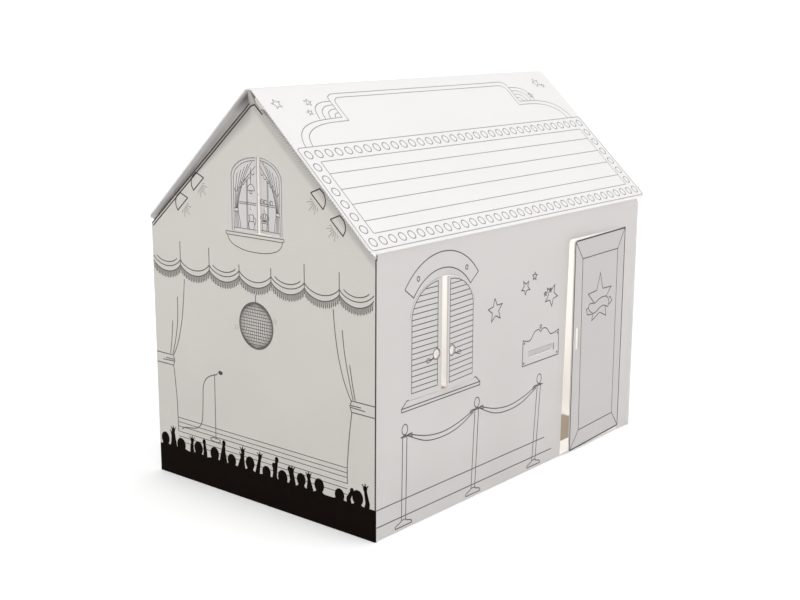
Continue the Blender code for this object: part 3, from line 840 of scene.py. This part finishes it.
def silhouette(name, where, outlines, ink):
    # Overlapping shapes made thick, merged into one body and laid on the sheet
    made = []
    for number, outline in enumerate(outlines):
        obj = flatDrawing("%s_%d" % (name, number), [outline])
        bpy.ops.object.mode_set(mode="EDIT")
        bpy.ops.mesh.select_all(action="SELECT")
        bpy.ops.mesh.extrude_region_move(TRANSFORM_OT_translate={"value": (0, 0, -0.001)})
        bpy.ops.mesh.select_all(action="SELECT")
        bpy.ops.mesh.normals_make_consistent(inside=False)
        bpy.ops.object.mode_set(mode="OBJECT")
        made.append(obj)
    whole = joinPieces(name, made)
    bpy.ops.mesh.primitive_cube_add(size=0.002, location=(0, 0.02, -0.0005))
    helper = bpy.context.object
    merge = whole.modifiers.new("merge", "BOOLEAN")
    merge.operation = "UNION"
    merge.solver = "EXACT"
    merge.use_self = True
    merge.object = helper
    selectOnly(whole)
    bpy.ops.object.modifier_apply(modifier="merge")
    bpy.data.objects.remove(helper)
    whole.scale.z = 0.2
    bpy.ops.object.transform_apply(location=False, rotation=False, scale=True)
    whole.data.transform(Matrix.Translation((0, 0, proud * 2.2)))
    return finish(whole, where, ink)


silhouette("audience_print", "gable", crowdShapes(), "black")


def gableShutterDrawing(side):
    # Panes, a gathered curtain and plain household things, measured from the hinge to the slit
    far, low, spring, rise = 0.102, 0.8285, 0.985, 0.062
    lines = [[(0.011, low)] + arcLine(far + 0.002, spring - 0.004, far - 0.010, rise - 0.006, 180, 92, 14),
             [(0.003, low)] + arcLine(far + 0.002, spring - 0.001, far - 0.001, rise - 0.001, 180, 92, 14),
             [(0.011, low + 0.008), (far, low + 0.008)]]
    for v in (0.9090, 0.9140):
        lines.append([(0.034, v), (far, v)])
    lines += [[(0.064, low + 0.008), (0.064, 0.985)], [(0.068, low + 0.008), (0.068, 0.982)]]
    # curtain with its tie
    lines.append(smooth([(far, 1.022), (0.080, 1.000), (0.052, 0.972), (0.036, 0.935), (0.028, 0.895)], 6))
    lines.append(smooth([(0.028, 0.886), (0.034, 0.865), (0.038, 0.838)], 4))
    for k in range(5):
        lines.append(smooth([(0.088 - 0.015 * k, 1.034 - 0.009 * k), (0.062 - 0.010 * k, 0.995 - 0.008 * k),
                             (0.038 - 0.005 * k, 0.940 - 0.005 * k), (0.026 - 0.002 * k, 0.893)], 5))
    for k in range(3):
        lines.append([(0.026 - 0.004 * k, 0.886), (0.030 - 0.006 * k, 0.838)])
    lines.append([(0.012, 0.893), (0.029, 0.896), (0.030, 0.886), (0.012, 0.884)])
    for k in range(6):
        lines.append(arcLine(0.090 - 0.0135 * k, 1.004 - 0.0105 * k, 0.0070, 0.0085, 180, 360, 8))
    if side > 0:
        # a hanging lamp and a jug
        lines += [[(0.082, 1.015), (0.082, 0.968)], arcLine(0.082, 0.950, 0.0145, 0.018, 0, 180, 10)
                  + [(0.0675, 0.950), (0.0965, 0.950)], ring(0.082, 0.945, 0.005, 0.005, 8)]
        lines.append(smooth([(0.074, 0.8365), (0.070, 0.852), (0.075, 0.866), (0.073, 0.878),
                             (0.091, 0.878), (0.089, 0.866), (0.094, 0.852), (0.090, 0.8365)], 4))
        lines.append(smooth([(0.092, 0.872), (0.099, 0.868), (0.098, 0.856), (0.093, 0.850)], 4))
        lines.append([(0.072, 0.860), (0.092, 0.860)])
    else:
        # a plant in a pot, and cups on the bar
        lines.append([(0.074, 0.8365), (0.071, 0.858), (0.095, 0.858), (0.092, 0.8365)])
        lines.append([(0.069, 0.858), (0.097, 0.858), (0.097, 0.863), (0.069, 0.863), (0.069, 0.858)])
        for lean, tall in ((-0.016, 0.016), (-0.009, 0.023), (0.0, 0.026), (0.008, 0.022), (0.014, 0.015)):
            stem, tip = 0.083 + lean * 0.25, 0.083 + lean
            lines.append(smooth([(stem, 0.863), (tip - 0.005, 0.863 + tall * 0.6), (tip, 0.863 + tall),
                                 (tip + 0.005, 0.863 + tall * 0.6), (stem, 0.863)], 3))
        for u in (0.050, 0.078, 0.093):
            lines.append([(u - 0.005, 0.926), (u - 0.004, 0.914), (u + 0.004, 0.914), (u + 0.005, 0.926),
                          (u - 0.005, 0.926)])
            lines.append(arcLine(u + 0.005, 0.920, 0.0035, 0.0035, -80, 80, 5))
    return lines if side > 0 else flipped(lines, 0)


for name, side in (("gable_shutter_left", 1), ("gable_shutter_right", -1)):
    drawLines(name + "_print", name, gableShutterDrawing(side), 0.0018, "fine")


# roof

roofPrint = {"middle": 0.012, "rows": (0.2580, 0.5765), "columns": (-0.6805, 0.7090), "rowStart": -0.6800,
             "rowStep": 0.04085, "rowCount": 35, "columnStep": 0.0455, "columnCount": 6,
             "bulb": (0.0130, 0.0140, 12), "boards": (0.3310, 0.3890, 0.4440, 0.5045)}


def roundedFrame(left, right, top, low, r):
    outline = (arcLine(left + r, -top - r, r, r, 180, 90, 6) + arcLine(right - r, -top - r, r, r, 90, 0, 6)
               + arcLine(right - r, -low + r, r, r, 0, -90, 6)
               + arcLine(left + r, -low + r, r, r, 270, 180, 6))
    return outline + outline[:1]


def roofDrawing():
    # Measured along the ridge and down the slope from the front crease of its flat strip
    frameLines = [roundedFrame(-0.7065, 0.7360, 0.2300, 0.6030, 0.010),
                  roundedFrame(-0.6540, 0.6830, 0.2860, 0.5490, 0.003)]
    for s in roofPrint["boards"]:
        frameLines.append([(-0.6540, -s), (0.6830, -s)])
    bulbs = []
    for s in roofPrint["rows"]:
        for i in range(roofPrint["rowCount"]):
            bulbs.append(ring(roofPrint["rowStart"] + i * roofPrint["rowStep"], -s, *roofPrint["bulb"]))
    for u in roofPrint["columns"]:
        for i in range(1, roofPrint["columnCount"] + 1):
            bulbs.append(ring(u, -(roofPrint["rows"][0] + i * roofPrint["columnStep"]), *roofPrint["bulb"]))
    # the blank sign over the frame, left half, then mirrored
    middle = roofPrint["middle"]
    half = [smooth([(middle, -0.0400), (-0.300, -0.0400), (-0.405, -0.0400), (-0.428, -0.0440),
                    (-0.440, -0.0530), (-0.4425, -0.0680)], 5),
            smooth([(middle, -0.0560), (-0.300, -0.0560), (-0.390, -0.0560), (-0.413, -0.0610),
                    (-0.4230, -0.0720), (-0.4250, -0.0900)], 5) + [(-0.4250, -0.1480)],
            smooth([(-0.4425, -0.0680), (-0.480, -0.0700), (-0.512, -0.0810), (-0.530, -0.1020),
                    (-0.536, -0.1330)], 5),
            smooth([(-0.4425, -0.0830), (-0.474, -0.0860), (-0.497, -0.0970), (-0.510, -0.1130),
                    (-0.513, -0.1340)], 5),
            smooth([(-0.4425, -0.0990), (-0.468, -0.1030), (-0.484, -0.1130), (-0.491, -0.1330)], 5),
            smooth([(-0.4425, -0.1150), (-0.460, -0.1190), (-0.470, -0.1330)], 5),
            [(-0.4425, -0.0680), (-0.4425, -0.1335)],
            smooth([(-0.4425, -0.1335), (-0.505, -0.1355), (-0.565, -0.1410), (-0.615, -0.1560),
                    (-0.648, -0.1800), (-0.664, -0.2070), (-0.6690, -0.2300)], 5),
            smooth([(-0.4250, -0.1480), (-0.500, -0.1495), (-0.555, -0.1560), (-0.598, -0.1710),
                    (-0.628, -0.1940), (-0.6420, -0.2300)], 5)]
    frameLines += half + flipped(half, middle)
    stars = [star(-0.660, -0.064, 0.019, 10), star(-0.535, -0.066, 0.014, -12),
             star(-0.556, -0.105, 0.011, 8), star(0.648, -0.055, 0.020, 14),
             star(0.676, -0.070, 0.009, 0), star(0.558, -0.110, 0.012, -10)]
    return frameLines, bulbs, stars


frameLines, bulbs, stars = roofDrawing()
drawLines("roof_line_print", "roof", frameLines, 0.0026, "pale")
drawLines("roof_bulb_print", "roof", bulbs, 0.0032, "pale")
drawLines("roof_star_print", "roof", stars, 0.0024, "pale")
print("roof drawn")


# floor, light and camera

lamp = {"world": 0.30, "overhead": 2.2, "overheadSpread": 80, "inside": 7.5, "insideSize": 0.22,
        "floor": 0.18, "backdrop": 0.8}
houseFloorShade = {"colour": (0.35, 0.295, 0.22, 1), "inset": 0.02}
photoView = {"lens": 58.09, "place": (-3.2523, -2.6686, 1.4608), "heading": -50.257, "down": 12.722,
             "roll": 0.208}


def addLight(name, kind, at, power, colour):
    light = bpy.data.lights.new(name, kind)
    light.energy = power
    light.color = colour
    obj = bpy.data.objects.new(name, light)
    obj.location = at
    obj.rotation_euler = (-Vector(at)).to_track_quat("-Z", "Y").to_euler()
    bpy.context.scene.collection.objects.link(obj)
    return light


def studio():
    # A white floor that ends in a low round wall far off, so that no horizon shows. Inside the
    # house it is darker and brown, without the glow, as painted shade under the house.
    bpy.ops.mesh.primitive_plane_add(size=90, location=(0, 0, -0.0004))
    floor = bpy.context.object
    floor.name = "floor"
    m = Material("floor_white", 0.8)
    halfX, halfY = [house[size] / 2 - houseFloorShade["inset"] for size in ("length", "width")]
    alongX = (m.x > midX - halfX) * (m.x < midX + halfX)
    under = alongX * ((m.y > midY - halfY) * (m.y < midY + halfY))
    sweep = m.mix(m.noise(1.2), grey(0.93), grey(0.95))
    m.plug(Base_Color=m.mix(under, sweep, houseFloorShade["colour"]),
           Emission_Color=m.mix(under, grey(1), grey(0)))
    m.shader.inputs["Emission Strength"].default_value = lamp["floor"]
    floor.data.materials.append(m.material)

    bpy.ops.mesh.primitive_cylinder_add(vertices=64, radius=40, depth=8, end_fill_type="NOTHING",
                                        location=(0, 0, 3.9))
    backdrop = bpy.context.object
    backdrop.name = "backdrop"
    m = Material("backdrop_white", 0.9)
    m.plug(Base_Color=m.mix(m.noise(0.2), grey(0.93), grey(0.95)))
    m.shader.inputs["Emission Color"].default_value = (1, 1, 1, 1)
    m.shader.inputs["Emission Strength"].default_value = lamp["backdrop"]
    backdrop.data.materials.append(m.material)

    world = bpy.data.worlds.new("studio")
    bpy.context.scene.world = world
    world.use_nodes = True
    back = world.node_tree.nodes["Background"]
    back.inputs["Color"].default_value = (1, 1, 1, 1)
    back.inputs["Strength"].default_value = lamp["world"]
    bpy.context.scene.view_settings.view_transform = "Standard"

    overhead = addLight("overhead_light", "SUN", (-0.15, -0.75, 4.0), lamp["overhead"], (1, 1, 1))
    overhead.angle = math.radians(lamp["overheadSpread"])
    inside = addLight("inside_light", "POINT", (midX + 0.15, midY + 0.05, 0.45), lamp["inside"],
                      (1, 0.99, 0.965))
    inside.shadow_soft_size = lamp["insideSize"]


def photoCamera():
    camera = bpy.data.cameras.new("camera")
    camera.lens = photoView["lens"]
    camera.sensor_width = 36
    camera.clip_end = 200
    obj = bpy.data.objects.new("camera", camera)
    x, y, z = photoView["place"]
    obj.location = (x + midX, y + midY, z)
    turn = (Matrix.Rotation(math.radians(photoView["heading"]), 3, "Z")
            @ Matrix.Rotation(math.radians(90 - photoView["down"]), 3, "X")
            @ Matrix.Rotation(math.radians(photoView["roll"]), 3, "Z"))
    obj.rotation_euler = turn.to_euler()
    bpy.context.scene.collection.objects.link(obj)
    bpy.context.scene.camera = obj


studio()
photoCamera()
print("studio and camera set")
